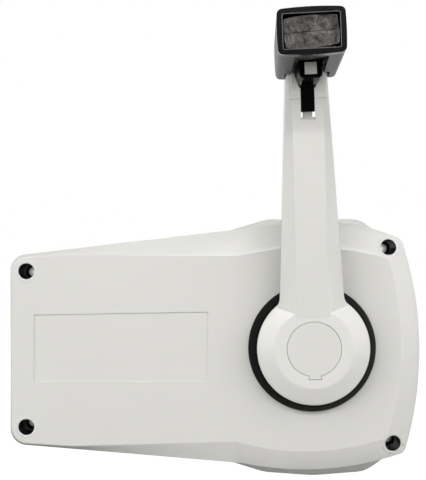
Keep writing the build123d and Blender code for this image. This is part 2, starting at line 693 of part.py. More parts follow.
def neutral_switch():
    top = SWITCH_Z[1]
    body = block(SWITCH_X[0] + 0.5, SWITCH_X[1] - 0.5, SWITCH_SEAT, SWITCH_TOP, SWITCH_Z[0] + 0.5, top)
    body -= rod_z(PLUNGER_R + RUN_FIT, 0, top - 3, 0, SWITCH_SEAT + 4)
    for x in SWITCH_SCREW_X:
        body -= bar(SWITCH_SCREW_R + 0.1, SWITCH_SEAT - 1, SWITCH_TOP + 1, x, sum(SWITCH_Z) / 2)
    for x in (-4.0, 4.0):
        body += block(x - 1.2, x + 1.2, SWITCH_SEAT + 3.6, SWITCH_SEAT + 4.4, top - 0.5, top + 6)
    return body


def switch_plunger():
    return rod_z(PLUNGER_R, LOBE_TOP + CLEAR, SWITCH_Z[1] - 6, 0, SWITCH_SEAT + 4)


def small_screws(places, radius, overhang, head, seat, back):
    """Like screws that sit in one plane and point back into the housing."""
    screws = []
    for x, z in places:
        screw = bar(radius + overhang, seat, seat + head, x, z) + bar(radius, back, seat, x, z)
        screws.append(screw)
    return Compound(children=screws)


# ---- cable anchors ----
def cable_clamp():
    plate = block(ANCHOR[0], ANCHOR[1], CABLE_DEPTH, CLAMP_TOP, -ANCHOR_HALF, ANCHOR_HALF)
    for z in CABLE_Z:
        plate -= rod_x(ANCHOR_R, ANCHOR[0] - 1, ANCHOR[1] + 1, CABLE_DEPTH, z)
    for z in CLAMP_SCREW_Z:
        plate -= bar(2.2, CABLE_DEPTH - 1, CLAMP_TOP + 1, sum(ANCHOR) / 2, z)
    return plate


def cable_grommets():
    """Rubber plugs in the cable outlets."""
    plugs = []
    radius = OUTLET_R - 0.1
    inner = BOX_LEFT + WALL
    for z in CABLE_Z:
        plug = rod_x(radius, BOX_LEFT + CLEAR, inner + 1, CABLE_DEPTH, z)
        plug += block(BOX_LEFT + CLEAR, inner + 1, PARTING, CABLE_DEPTH, z - radius, z + radius)
        plug += rod_x(OUTLET_R + 2, inner + 0.2, inner + 1.8, CABLE_DEPTH, z)
        plug -= rod_x(GROMMET_BORE_R, BOX_LEFT - 1, inner + 3, CABLE_DEPTH, z)
        plugs.append(plug)
    return Compound(children=plugs)


# ---- bezel, lock ring, nut, button ----
def pivot_bezel():
    wall = BEZEL_R - 3.2
    profile = [(LOCK_RING_IN, FACE), (BEZEL_R, FACE), (BEZEL_R, FACE + 1.6), (BEZEL_R - 1.2, FACE + 4.5),
               (BEZEL_TOP_R + 0.6, BEZEL_TOP - 0.8), (BEZEL_TOP_R, BEZEL_TOP), (BEZEL_TOP_R - 1.5, BEZEL_TOP),
               (wall, FACE + 4), (wall, FACE + BEZEL_FLANGE), (LOCK_RING_IN, FACE + BEZEL_FLANGE)]
    return turned(profile)


def lock_ring():
    back = FACE + BEZEL_FLANGE
    ring = tube(LOCK_RING_R, LOCK_RING_IN, back, LOCK_RING_TOP)
    half = LOCK_BAR_HALF + 2 * CLEAR
    ring -= leaned(block(-half, half, back - 1, LOCK_RING_TOP + 1, LOCK_RING_R - 3, LOCK_RING_R + 1))
    for x, z in lock_screw_places():
        ring -= bar(RING_SCREW_R + 0.1, back - 1, LOCK_RING_TOP + 1, x, z)
    return ring


def lock_screw_places():
    middle = (LOCK_RING_R + LOCK_RING_IN) / 2
    angles = [math.radians(degrees) for degrees in (30, 150, 270)]
    return [(middle * math.cos(angle), middle * math.sin(angle)) for angle in angles]


def hub_nut():
    nut = RegularPolygon(NUT_R, 6) - Circle(THREAD_R + RUN_FIT)
    return slab(nut, POCKET_FLOOR + WASHER, POCKET_FLOOR + WASHER + 4.0)


def hub_washer():
    return tube(NUT_R + 1.3, THREAD_R + 0.2, POCKET_FLOOR, POCKET_FLOOR + WASHER)


def button_tab(half, depth):
    """Key tab that widens slightly towards its foot."""
    foot = -BUTTON_R - depth
    return Polygon((-half * 1.05, foot), (half * 1.05, foot), (half * 0.9, 3 - BUTTON_R),
                   (-half * 0.9, 3 - BUTTON_R), align=None)


def button_outline(grow):
    return Circle(BUTTON_R + grow) + button_tab(BUTTON_TAB_HALF + grow, BUTTON_TAB + grow)


def throttle_button():
    skin = BUTTON_FRONT - BUTTON_SKIN
    cap = slab(button_outline(0), skin, BUTTON_FRONT)
    cap += tube(BUTTON_R, BUTTON_R - 2, POCKET_FLOOR + 6, BUTTON_FRONT - 1)
    cap += bar(BUTTON_ROD_R + 2, skin - 1.5, BUTTON_FRONT - 1)
    return cap - bar(BUTTON_ROD_R + RUN_FIT, skin - 2.5, BUTTON_FRONT - 1.5)


def button_rod():
    rod = bar(BUTTON_ROD_R, CLUTCH_DEPTH - CLUTCH_PIN_R - 0.4, BUTTON_FRONT - 1.5)
    return rod + rod_x(CLUTCH_PIN_R, -CLUTCH_HALF, CLUTCH_HALF, CLUTCH_DEPTH, 0)


def button_spring():
    """Coil between the pocket's floor and the button, round the nut."""
    wire_r = 0.6
    back = POCKET_FLOOR + 0.05 + wire_r
    height = BUTTON_FRONT - BUTTON_SKIN - wire_r - back
    path = Helix(pitch=height / 3, height=height, radius=BUTTON_R - 4.9)
    wire = sweep(Plane(origin=path @ 0, z_dir=path % 0) * Circle(wire_r), path=path)
    return Pos(0, -back, 0) * Rot(90, 0, 0) * wire


# ---- lever ----
def arm_front(z):
    slope = (ARM_FRONT_TOP - HUB_FRONT) / (ARM_TOP - ARM_FOOT)
    return HUB_FRONT + slope * (z - ARM_FOOT)


def arm_back(z):
    slope = (ARM_BACK_TOP - HUB_BACK) / (ARM_TOP - ARM_FOOT)
    return HUB_BACK + slope * (z - ARM_FOOT)


def arm_half(z):
    slope = (ARM_HALF_TOP - ARM_HALF_FOOT) / (ARM_TOP - ARM_FOOT)
    return ARM_HALF_FOOT + slope * (z - ARM_FOOT)


def arm_section(z, skin):
    """Cross-section of the arm: flat front facet, two bevels and upright sides."""
    half = arm_half(z) - skin
    flat = min(ARM_FLAT, half) - skin * 0.6
    front = arm_front(z) - skin
    back = arm_back(z) - (1.0 if skin else 0.0)
    shoulder = front - min(ARM_BEVEL, (front - back) * 0.6)
    points = [(-half, -back), (half, -back), (half, -shoulder), (flat, -front), (-flat, -front),
              (-half, -shoulder)]
    return Plane.XY.offset(z) * Polygon(*points, align=None)


def neck_section(z):
    """The same section with its bevels carried on outwards, for the neck to be cut from."""
    half = HUB_R - 7
    front = arm_front(z)
    drop = ARM_BEVEL * (half - ARM_FLAT) / (arm_half(z) - ARM_FLAT)
    points = [(-half, -BOSS_BACK), (half, -BOSS_BACK), (half, drop - front), (ARM_FLAT, -front),
              (-ARM_FLAT, -front), (-half, drop - front)]
    return Plane.XY.offset(z) * Polygon(*points, align=None)


def neck_outline():
    """Front view of the hub and the foot of the arm, with the two hollow corners rounded."""
    low = ARM_FOOT - 8
    foot = Polygon((-arm_half(low), low), (arm_half(low), low), (arm_half(ARM_NECK), ARM_NECK),
                   (-arm_half(ARM_NECK), ARM_NECK), align=None)
    outline = Circle(HUB_R - 0.4) + foot
    hollows = outline.vertices().filter_by(lambda v: ARM_FOOT < v.Y < ARM_NECK - 1)
    return fillet(hollows, NECK_R)


def lever_arm():
    profile = Polygon((0, -BOSS_BACK), (BOSS_R, -BOSS_BACK), (BOSS_R, -HUB_BACK), (HUB_R, -HUB_BACK),
                      (HUB_R, -HUB_RIM), (HUB_FACE_R, -HUB_FRONT), (0, -HUB_FRONT), align=None)
    profile = fillet(profile.vertices().sort_by_distance((HUB_R, -HUB_RIM, 0))[0], HUB_EDGE_R)
    profile = fillet(profile.vertices().sort_by_distance((HUB_FACE_R, -HUB_FRONT, 0))[0], HUB_FACE_ROUND)
    hub = revolve(profile, Axis.Y)
    neck = loft([neck_section(ARM_FOOT - 8), neck_section(ARM_NECK)], ruled=True)
    neck &= slab(neck_outline(), HUB_BACK, ARM_FRONT_TOP)
    arm = loft([arm_section(ARM_NECK, 0), arm_section(ARM_TOP, 0)], ruled=True)
    head = block(-HEAD_HALF, HEAD_HALF, ARM_BACK_TOP + 3, ARM_FRONT_TOP - 2, ARM_TOP - 16, GRIP_CENTRE + 4)
    lever = hub + neck + arm + head
    lever += grip_place(block(-HORN_HALF, HORN_HALF, ARM_FRONT_TOP - 12, HORN_FRONT,
                              GRIP_CENTRE - HORN_HEIGHT / 2, GRIP_CENTRE + HORN_HEIGHT / 2))
    lever -= loft([arm_section(HUB_R, ARM_SKIN), arm_section(ARM_TOP - 8, ARM_SKIN)], ruled=True)
    bar_room = LOCK_BAR_HALF + 2.5
    bar_front = arm_front(HUB_R) - LOCK_BAR_OFFSET + 0.5
    lever -= block(-bar_room, bar_room, HUB_BACK - 1, bar_front, LOCK_TIP - 1.5, HUB_R + 5)

    slot = Polygon((-SLOT_HALF, SLOT_BOTTOM), (SLOT_HALF, SLOT_BOTTOM), (SLOT_HALF, FUNNEL_FOOT),
                   (FUNNEL_HALF, FUNNEL_TOP), (FUNNEL_HALF, GRIP_CENTRE - 4), (-FUNNEL_HALF, GRIP_CENTRE - 4),
                   (-FUNNEL_HALF, FUNNEL_TOP), (-SLOT_HALF, FUNNEL_FOOT), align=None)
    lever -= slab(slot, ARM_FRONT_TOP - 12, ARM_FRONT_TOP + 6)
    ledge_front = arm_front(SLOT_BOTTOM) + 1
    lever -= side_profile([(ledge_front, SLOT_BOTTOM - SLOT_LEDGE), (ledge_front, SLOT_BOTTOM + 1),
                           (ledge_front - 4, SLOT_BOTTOM + 1), (ledge_front - 4, SLOT_BOTTOM)], SLOT_HALF)

    lever -= slab(button_outline(CLEAR), POCKET_FLOOR + 2.6, HUB_FRONT + 1)
    lever -= bar(BUTTON_R + CLEAR, POCKET_FLOOR, HUB_FRONT)
    lever -= slab(lever_flats(SEAT_FIT), BOSS_BACK - 1, POCKET_FLOOR + 1)
    screw_hole = rod_z(GRIP_SCREW_R + 0.1, GRIP_CENTRE - 8, GRIP_CENTRE + 8, 0, GRIP_SCREW_DEPTH)
    return lever - grip_place(screw_hole)


# ---- grip ----
def grip_place(shape):
    """Cant the grip group about the point where the arm enters it."""
    centre = Location((0, -GRIP_TURN_DEPTH, GRIP_CENTRE))
    back = Location((0, GRIP_TURN_DEPTH, -GRIP_CENTRE))
    return centre * Rot(0, 0, -GRIP_YAW) * Rot(GRIP_DROOP, 0, 0) * back * shape


def crowned_rectangle(width, height, crown, corner):
    half_w = width / 2
    half_h = height / 2
    edges = [
        ThreePointArc((-half_w, -half_h), (0, -half_h - crown), (half_w, -half_h)),
        ThreePointArc((half_w, -half_h), (half_w + crown * 0.5, 0), (half_w, half_h)),
        ThreePointArc((half_w, half_h), (0, half_h + crown), (-half_w, half_h)),
        ThreePointArc((-half_w, half_h), (-half_w - crown * 0.5, 0), (-half_w, -half_h))]
    sketch = make_face(edges)
    return fillet(sketch.vertices(), corner)


def grip_sleeve():
    height = GRIP_HEIGHT - 2 * GRIP_CROWN
    outer = crowned_rectangle(GRIP_WIDTH - GRIP_CROWN, height, GRIP_CROWN, GRIP_CORNER)
    hollow = GRIP_HEIGHT - 2 * GRIP_WALL - 0.4
    inner = crowned_rectangle(GRIP_WIDTH - 2 * GRIP_WALL, hollow, 0.2, 1.2)
    sleeve = slab(Pos(0, GRIP_CENTRE) * outer, GRIP_BACK, GRIP_FRONT)
    ends = sleeve.edges().filter_by_position(Axis.Y, -GRIP_BACK - 0.1, -GRIP_BACK + 0.1)
    sleeve = fillet(ends, GRIP_END_R)
    sleeve -= slab(Pos(0, GRIP_CENTRE) * inner, GRIP_BACK + WALL, GRIP_FRONT + 1)
    floor = GRIP_CENTRE - GRIP_HEIGHT / 2 - 3
    roof = GRIP_CENTRE - 6
    arm_room = ARM_HALF_TOP + 1.2
    sleeve -= block(-arm_room, arm_room, GRIP_BACK + 0.9, ARM_FRONT_TOP + 1.5, floor, roof)
    window = TRIGGER_WINDOW_HALF
    sleeve -= block(-window, window, ARM_FRONT_TOP, TRIGGER_WINDOW_FRONT, floor, roof)
    return grip_place(sleeve)


def core_body():
    outline = crowned_rectangle(CORE_WIDTH, CORE_HEIGHT, CORE_CROWN, 1.0)
    return slab(Pos(0, GRIP_CENTRE) * Rot(0, 0, CORE_TWIST) * outline, CORE_BACK, GRIP_FRONT - CORE_SINK)


def grip_core(upper):
    keep = block(-30, 30, CORE_BACK - 1, GRIP_FRONT, GRIP_CENTRE + CORE_PARTING, GRIP_CENTRE + 30)
    if not upper:
        keep = block(-30, 30, CORE_BACK - 1, GRIP_FRONT, GRIP_CENTRE - 30, GRIP_CENTRE - CORE_PARTING)
    turn = Location((0, 0, GRIP_CENTRE)) * Rot(0, -CORE_TWIST, 0) * Location((0, 0, -GRIP_CENTRE))
    half = core_body() & (turn * keep)
    horn_x = HORN_HALF + 0.1
    horn_z = HORN_HEIGHT / 2 + 0.05
    half -= block(-horn_x, horn_x, CORE_BACK - 1, HORN_FRONT + 0.4,
                  GRIP_CENTRE - horn_z, GRIP_CENTRE + horn_z)
    half -= rod_z(GRIP_SCREW_R + 0.1, GRIP_CENTRE - 12, GRIP_CENTRE + 5.5, 0, GRIP_SCREW_DEPTH)
    half -= rod_z(GRIP_HEAD_R + CLEAR, GRIP_CENTRE - 12, GRIP_CENTRE - 6, 0, GRIP_SCREW_DEPTH)
    if not upper:
        half -= rod_z(TRIGGER_COIL_R + 1.3, GRIP_CENTRE - 12, GRIP_CENTRE - 1, 0, SPRING_DEPTH)
        room = TRIGGER_HALF + 1.8
        half -= block(-room, room, CORE_BACK - 1, TRIGGER_FRONT + 2.6,
                      GRIP_CENTRE - 12, TRIGGER_TOP + TRIGGER_TRAVEL + 0.6)
    return grip_place(half)


def grip_screw():
    head = GRIP_CENTRE - 6
    screw = rod_z(GRIP_SCREW_R, head, GRIP_CENTRE + 5.2, 0, GRIP_SCREW_DEPTH)
    return grip_place(screw + rod_z(GRIP_HEAD_R, head - 2, head, 0, GRIP_SCREW_DEPTH))


# ---- trigger group ----
def strap_run(sketch):
    """Thin strap that follows the slope of the arm, cut to a front-view outline."""
    low = STRAP_END
    high = TRIGGER_BOTTOM + 6
    low_front = arm_front(low) - STRAP_SINK
    high_front = arm_front(high) - STRAP_SINK
    run = side_profile([(low_front, low), (high_front, high), (high_front - STRAP_THICK, high),
                        (low_front - STRAP_THICK, low)], STRAP_HALF)
    return run & slab(sketch, low_front - 10, high_front + 10)


def trigger():
    outline = Polygon((-TRIGGER_HALF, TRIGGER_BOTTOM), (TRIGGER_HALF, TRIGGER_BOTTOM),
                      (TRIGGER_HALF, TRIGGER_TOP), (-TRIGGER_HALF, TRIGGER_TOP), align=None)
    low = outline.vertices().sort_by(Axis.Y)[0:2]
    body = slab(fillet(low, TRIGGER_ROUND), TRIGGER_BACK, TRIGGER_FRONT)
    face_edges = body.edges().filter_by_position(Axis.Y, -TRIGGER_FRONT - 0.1, -TRIGGER_FRONT + 0.1)
    body = fillet(face_edges, 0.9)
    waist = TRIGGER_BOTTOM + 3
    root = TRIGGER_BOTTOM + 6
    strap = Polygon((-STRAP_HALF, STRAP_END), (STRAP_HALF, STRAP_END), (STRAP_HALF, FUNNEL_FOOT),
                    (STRAP_NECK, waist), (STRAP_NECK, root), (-STRAP_NECK, root), (-STRAP_NECK, waist),
                    (-STRAP_HALF, FUNNEL_FOOT), align=None)
    body += strap_run(strap)
    root_back = arm_front(root) - STRAP_SINK - STRAP_THICK - 1
    body += block(-STRAP_NECK, STRAP_NECK, root_back, TRIGGER_BACK + 1, waist, root + 3)
    hook = STRAP_END + 2.5
    hook_back = arm_front(hook + 2) - LOCK_BAR_OFFSET + 0.05
    body += block(-2, 2, hook_back, arm_front(hook) - STRAP_SINK - 1, hook - 2, hook + 2)
    body -= block(-INSERT_HALF, INSERT_HALF, TRIGGER_FRONT - INSERT_SINK, TRIGGER_FRONT + 1,
                  INSERT_Z - INSERT_HALF, INSERT_Z + INSERT_HALF)
    return body - rod_z(TRIGGER_COIL_R + 0.9, SPRING_FOOT - 0.6, TRIGGER_TOP + 1, 0, SPRING_DEPTH)


def trigger_insert():
    size = INSERT_HALF - RUN_FIT
    back = TRIGGER_FRONT - INSERT_SINK
    return block(-size, size, back, TRIGGER_FRONT + 0.15, INSERT_Z - size, INSERT_Z + size)


def lock_bar():
    low = LOCK_TIP + 2.2
    top = STRAP_END + 8
    front_low = arm_front(low) - LOCK_BAR_OFFSET
    front_top = arm_front(top) - LOCK_BAR_OFFSET
    run = side_profile([(front_low, low), (front_top, top), (front_top - LOCK_BAR_THICK, top),
                        (front_low - LOCK_BAR_THICK, low)], LOCK_BAR_HALF)
    return run + block(-LOCK_BAR_HALF, LOCK_BAR_HALF, LOCK_RING_TOP - 2.6, front_low, LOCK_TIP, low)


def trigger_spring():
    height = GRIP_CENTRE - HORN_HEIGHT / 2 - 0.6 - SPRING_FOOT
    path = Helix(pitch=height / 4, height=height, radius=TRIGGER_COIL_R)
    wire = sweep(Plane(origin=path @ 0, z_dir=path % 0) * Circle(0.45), path=path)
    return Pos(0, -SPRING_DEPTH, SPRING_FOOT) * wire


# ---- build every piece ----
def main():
    os.makedirs("parts", exist_ok=True)
    save("front_cover", front_cover())
    save("rear_housing", rear_housing())
    save("mounting_sleeves", mounting_sleeves())
    save("cover_screws", shell_screws())
    save("front_bush", bush(SHAFT_R, *FRONT_BUSH, True))
    save("rear_bush", bush(SHAFT_TAIL_R, *REAR_BUSH, False))
    save("pivot_bezel", pivot_bezel())
    save("lock_ring", lock_ring())
    ring_places = lock_screw_places()
    ring_back = FACE + BEZEL_FLANGE
    save("lock_ring_screws", small_screws(ring_places, RING_SCREW_R, 1.1, 1.4, LOCK_RING_TOP, ring_back))
    save("shift_stub", shift_stub())
    save("shift_stub_clip", retaining_clip(STUB_R - STUB_GROOVE, STUB_R + 3, *STUB_CLIP, -GEAR_SPACING, 0))
    save("detent_pin", headed_pin(DETENT_PIN_R, DETENT_ROOT, DETENT[1] + 2.2, *DETENT_PIVOT, False))
    save("detent_spring", detent_spring())
    save("friction_pad", friction_pad())
    save("friction_screw", friction_screw())
    save("neutral_switch", neutral_switch())
    places = [(x, sum(SWITCH_Z) / 2) for x in SWITCH_SCREW_X]
    save("switch_screws", small_screws(places, SWITCH_SCREW_R, 1.05, 1.2, SWITCH_TOP, SWITCH_SCREW_END))
    save("cable_clamp", cable_clamp())
    places = [(sum(ANCHOR) / 2, z) for z in CLAMP_SCREW_Z]
    save("clamp_screws", small_screws(places, CLAMP_SCREW_R, 1.95, 2.4, CLAMP_TOP, CLAMP_SCREW_END))
    save("cable_grommets", cable_grommets())

    save("lever_arm", leaned(lever_arm()))
    save("grip_sleeve", leaned(grip_sleeve()))
    save("grip_core_upper", leaned(grip_core(True)))
    save("grip_core_lower", leaned(grip_core(False)))
    save("grip_screw", leaned(grip_screw()))
    save("hub_nut", hub_nut())
    save("hub_washer", hub_washer())
    save("main_shaft", main_shaft())
    save("shaft_keys", shaft_keys())
    save("shaft_clip", retaining_clip(SHAFT_R - 1, SHAFT_R + 3, *CLIP))
    save("drive_gear", drive_gear())
    save("throttle_crank", throttle_crank())
    save("crank_pin", headed_pin(CABLE_PIN_R, CRANK[0], SWIVEL[1], -CRANK_RADIUS, 0, False))
    save("detent_disc", detent_disc())

    save("throttle_swivel", cable_swivel(*SWIVEL, -CRANK_RADIUS, 0))
    save("shift_gear", shift_gear())
    swivel_back = GEAR[0] - 10.2
    arm_end = (-GEAR_SPACING, SHIFT_ARM)
    save("shift_arm_pin", headed_pin(CABLE_PIN_R, swivel_back - 0.6, GEAR[0] + 5, *arm_end, True))
    save("shift_swivel", cable_swivel(swivel_back, GEAR[0] - 0.4, *arm_end))
    save("detent_arm", detent_arm())
    save("detent_roller", detent_roller())
    save("switch_plunger", switch_plunger())

    save("throttle_button", leaned(throttle_button()))
    save("button_rod", button_rod())
    save("button_spring", button_spring())
    save("trigger", leaned(trigger()))
    save("trigger_insert", leaned(trigger_insert()))
    save("lock_bar", leaned(lock_bar()))
    save("trigger_spring", leaned(trigger_spring()))


main()
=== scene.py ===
import bpy
import math
from mathutils import Matrix, Vector


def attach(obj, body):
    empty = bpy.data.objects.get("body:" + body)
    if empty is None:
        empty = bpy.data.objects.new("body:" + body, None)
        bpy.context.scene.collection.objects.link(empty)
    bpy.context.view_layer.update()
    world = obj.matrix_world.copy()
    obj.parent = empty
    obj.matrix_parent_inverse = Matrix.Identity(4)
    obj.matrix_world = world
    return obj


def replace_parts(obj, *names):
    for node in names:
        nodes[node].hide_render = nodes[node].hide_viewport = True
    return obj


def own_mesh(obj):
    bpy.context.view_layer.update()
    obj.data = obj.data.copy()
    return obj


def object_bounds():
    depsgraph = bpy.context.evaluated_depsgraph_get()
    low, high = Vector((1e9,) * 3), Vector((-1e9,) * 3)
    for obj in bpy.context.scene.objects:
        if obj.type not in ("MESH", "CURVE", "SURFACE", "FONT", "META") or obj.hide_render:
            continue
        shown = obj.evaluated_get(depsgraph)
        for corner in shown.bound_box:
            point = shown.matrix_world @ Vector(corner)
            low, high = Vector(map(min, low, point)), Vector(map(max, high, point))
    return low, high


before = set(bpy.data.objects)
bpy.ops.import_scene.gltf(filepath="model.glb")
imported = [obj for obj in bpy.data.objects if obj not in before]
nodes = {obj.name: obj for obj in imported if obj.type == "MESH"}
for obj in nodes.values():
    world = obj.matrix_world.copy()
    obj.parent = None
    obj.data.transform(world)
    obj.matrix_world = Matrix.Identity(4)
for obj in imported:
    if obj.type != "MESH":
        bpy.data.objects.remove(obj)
cad_low, cad_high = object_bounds()


# ---- Camera ----
# A level product shot from straight in front of the box, a little left of the lever. The lens is
# long enough that the grip, which stands well clear of the panel, is only slightly enlarged.
PIXELS_HIGH = 480
FOCAL_PIXELS = 1166.6
RISE_PIXELS = 42.6
SIDE_PIXELS = 2.8
SENSOR = 36.0
CAMERA_PLACE = (-0.0672, -0.8230, 0.0430)
camera = bpy.data.objects.new("camera", bpy.data.cameras.new("camera"))
bpy.context.scene.collection.objects.link(camera)
camera.data.sensor_width = SENSOR
camera.data.lens = FOCAL_PIXELS * SENSOR / PIXELS_HIGH
camera.data.shift_x = SIDE_PIXELS / PIXELS_HIGH
camera.data.shift_y = RISE_PIXELS / PIXELS_HIGH
camera.location = CAMERA_PLACE
camera.rotation_euler = (math.radians(90), 0, 0)
camera.data.clip_start = 0.01
camera.data.clip_end = 50
bpy.context.scene.camera = camera


# ---- Surround ----
# An even, dim surround fills the shadows. The camera and anything clear see it as plain white, and
# so does a glossy surface, but only in the half behind the box, so that black parts stay black.
def srgb(code):
    """Linear colour of an sRGB hex code such as 'dedcd8'."""
    made = []
    for start in (0, 2, 4):
        value = int(code[start:start + 2], 16) / 255
        made.append(value / 12.92 if value <= 0.04045 else ((value + 0.055) / 1.055) ** 2.4)
    return (*made, 1.0)


def add(tree, kind, sockets=None, **settings):
    """Add a node. settings are its options; sockets are its values or the outputs that feed it."""
    made = tree.nodes.new(kind)
    for name, value in settings.items():
        setattr(made, name, value)
    for name, value in (sockets or {}).items():
        if isinstance(value, bpy.types.NodeSocket):
            tree.links.new(value, made.inputs[name])
        else:
            made.inputs[name].default_value = value
    return made


bpy.context.scene.view_settings.view_transform = "Standard"
world = bpy.data.worlds.new("studio")
bpy.context.scene.world = world
world.use_nodes = True
tree = world.node_tree
tree.nodes.clear()
SURROUND = 0.2
BACK_HALF_FADE = 0.3
ray = add(tree, "ShaderNodeLightPath")
way = add(tree, "ShaderNodeSeparateXYZ", {0: add(tree, "ShaderNodeTexCoord").outputs["Generated"]})
behind = add(tree, "ShaderNodeMapRange", {"Value": way.outputs["Y"], "From Max": BACK_HALF_FADE})
mirrored = add(tree, "ShaderNodeMath", {0: ray.outputs["Is Glossy Ray"], 1: behind.outputs[0]},
               operation="MULTIPLY")
clear = add(tree, "ShaderNodeMath", {0: ray.outputs["Is Transmission Ray"], 1: mirrored.outputs[0]},
            operation="MAXIMUM")
direct = add(tree, "ShaderNodeMath", {0: ray.outputs["Is Camera Ray"], 1: clear.outputs[0]},
             operation="MAXIMUM")
lit = add(tree, "ShaderNodeBackground", {"Color": (1, 1, 1, 1), "Strength": SURROUND})
seen = add(tree, "ShaderNodeBackground", {"Color": (1, 1, 1, 1), "Strength": 1.0})
mixed = add(tree, "ShaderNodeMixShader", {0: direct.outputs[0], 1: lit.outputs[0], 2: seen.outputs[0]})
add(tree, "ShaderNodeOutputWorld", {"Surface": mixed.outputs[0]})


# ---- Lamps ----
# A softbox on each side does most of the lighting. A weak one overhead keeps the upper bands
# bright, and a narrow strip high in front draws thin highlights along rounded edges.
def lamp(name, place, width, height, watts):
    """Rectangular soft lamp aimed at the middle of the box."""
    made = bpy.data.objects.new(name, bpy.data.lights.new(name, "AREA"))
    bpy.context.scene.collection.objects.link(made)
    made.data.shape = "RECTANGLE"
    made.data.size = width
    made.data.size_y = height
    made.data.energy = watts
    made.location = place
    made.rotation_euler = (TARGET - Vector(place)).to_track_quat("-Z", "Y").to_euler()
    return made


TARGET = Vector((-0.06, -0.05, 0.02))
SOFTBOX = 1.2
lamp("softbox_left", (-1.1, -1.0, 0.45), SOFTBOX, SOFTBOX, 9.1)
lamp("softbox_right", (0.98, -1.0, 0.45), SOFTBOX, SOFTBOX, 8.6)
lamp("overhead", (-0.06, -0.36, 1.08), SOFTBOX, 0.8, 1.4)
lamp("strip", (-0.06, -1.3, 0.66), 1.3, 0.06, 6.9)


# ---- Floor ----
# Matt paint well below the box, which keeps the box's shadow. The camera sees it brighten to white
# away from the box, and glossy surfaces see its far part behind the box as white too.
FLOOR_DROP = 0.06
FLOOR_Z = cad_low.z - FLOOR_DROP
NEAR_GLOW = 0.86
GLOW_FROM = 0.3
GLOW_FULL = 1.1
FAR_FROM = 0.5
FAR_FULL = 1.5
BACK_FROM = 0.1
BACK_FULL = 0.6
floor = bpy.data.objects.new("floor", bpy.data.meshes.new("floor"))
bpy.context.scene.collection.objects.link(floor)
REACH = 4.0
corners = [(x * REACH, y * REACH, FLOOR_Z) for x, y in [(-1, -1), (1, -1), (1, 1), (-1, 1)]]
floor.data.from_pydata(corners, [], [(0, 1, 2, 3)])
paint = bpy.data.materials.new("white_floor_paint")
paint.use_nodes = True
tree = paint.node_tree
tree.nodes.clear()
ray = add(tree, "ShaderNodeLightPath")
bounce = add(tree, "ShaderNodeBsdfDiffuse", {"Color": srgb("a8a8a6")})
spot = add(tree, "ShaderNodeTexCoord").outputs["Object"]
reach = add(tree, "ShaderNodeVectorMath", {0: spot}, operation="LENGTH")
near = add(tree, "ShaderNodeMapRange", {"Value": reach.outputs["Value"], "From Min": GLOW_FROM,
                                        "From Max": GLOW_FULL, "To Min": NEAR_GLOW})
seen = add(tree, "ShaderNodeMath", {0: ray.outputs["Is Camera Ray"], 1: near.outputs[0]},
           operation="MULTIPLY")
away = add(tree, "ShaderNodeMapRange", {"Value": reach.outputs["Value"], "From Min": FAR_FROM,
                                        "From Max": FAR_FULL})
place = add(tree, "ShaderNodeSeparateXYZ", {0: spot})
behind = add(tree, "ShaderNodeMapRange", {"Value": place.outputs["Y"], "From Min": BACK_FROM,
                                          "From Max": BACK_FULL})
far_back = add(tree, "ShaderNodeMath", {0: away.outputs[0], 1: behind.outputs[0]}, operation="MULTIPLY")
mirrored = add(tree, "ShaderNodeMath", {0: ray.outputs["Is Glossy Ray"], 1: far_back.outputs[0]},
               operation="MULTIPLY")
shown = add(tree, "ShaderNodeMath", {0: seen.outputs[0], 1: mirrored.outputs[0]}, operation="MAXIMUM")
glow = add(tree, "ShaderNodeEmission", {"Color": (1, 1, 1, 1), "Strength": shown.outputs[0]})
both = add(tree, "ShaderNodeAddShader", {0: bounce.outputs[0], 1: glow.outputs[0]})
add(tree, "ShaderNodeOutputMaterial", {"Surface": both.outputs[0]})
floor.data.materials.append(paint)


# ---- Rear housing and front cover ----
# The two halves of the case are injection-moulded ABS, screwed together from behind. ABS from a
# fine-sparked tool has a satin gloss, a faint orange peel and slow clouds in its colour.
MM = 0.001


def new_material(name, **shader):
    """A material with its shader and output; shader holds what is the same all over."""
    made = bpy.data.materials.new(name)
    made.use_nodes = True
    tree = made.node_tree
    tree.nodes.clear()
    sockets = {key.replace("_", " "): value for key, value in shader.items()}
    surface = add(tree, "ShaderNodeBsdfPrincipled", sockets)
    add(tree, "ShaderNodeOutputMaterial", {"Surface": surface.outputs["BSDF"]})
    return made, tree, surface


def dress(names, material):
    """Give CAD nodes their finish."""
    for name in names:
        shape = nodes[name].data
        shape.materials.clear()
        shape.materials.append(material)


def soften(names, width, angle=35):
    """Break the hard edges of CAD nodes by a small radius."""
    for name in names:
        shape = nodes[name]
        weld = shape.modifiers.new("weld", "WELD")
        weld.merge_threshold = 0.002 * MM
        bevel = shape.modifiers.new("edge", "BEVEL")
        bevel.width = width
        bevel.segments = 3
        bevel.limit_method = "ANGLE"
        bevel.angle_limit = math.radians(angle)
        bevel.harden_normals = True
        bevel.use_clamp_overlap = True


SCUFFS_PER_METRE = (630, 360, 810)
SCUFF_TURN = (0.2, 0.9, 0.3)


